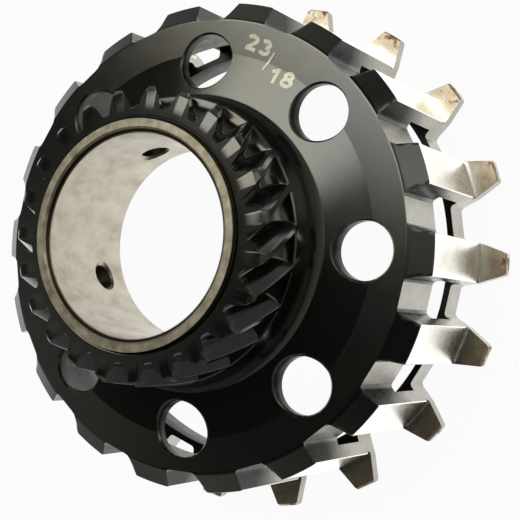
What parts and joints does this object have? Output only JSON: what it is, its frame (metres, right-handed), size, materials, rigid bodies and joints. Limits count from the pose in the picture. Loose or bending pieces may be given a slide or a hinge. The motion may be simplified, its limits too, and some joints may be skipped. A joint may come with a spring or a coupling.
{
  "type": "clutch pinion",
  "caption": "Helical pinion with a neck, a round web with holes and a ring of driving dogs with rear lugs, and a plain bearing bush in its bore.",
  "frame": {"origin": "centre of the rear face of the dog ring, on the axis", "axes": "+Z along the axis from the rear face to the gear, +X through the middle of a dog"},
  "size_m": [0.115, 0.114, 0.0573],
  "materials": {
    "pinion_body": "black oxide, with ground bright faces on the dogs",
    "bush": "finely bored bright bearing metal"
  },
  "bodies": {
    "root": {"pinion_body": "pinion_body", "bush": "bush"}
  },
  "joints": []
}
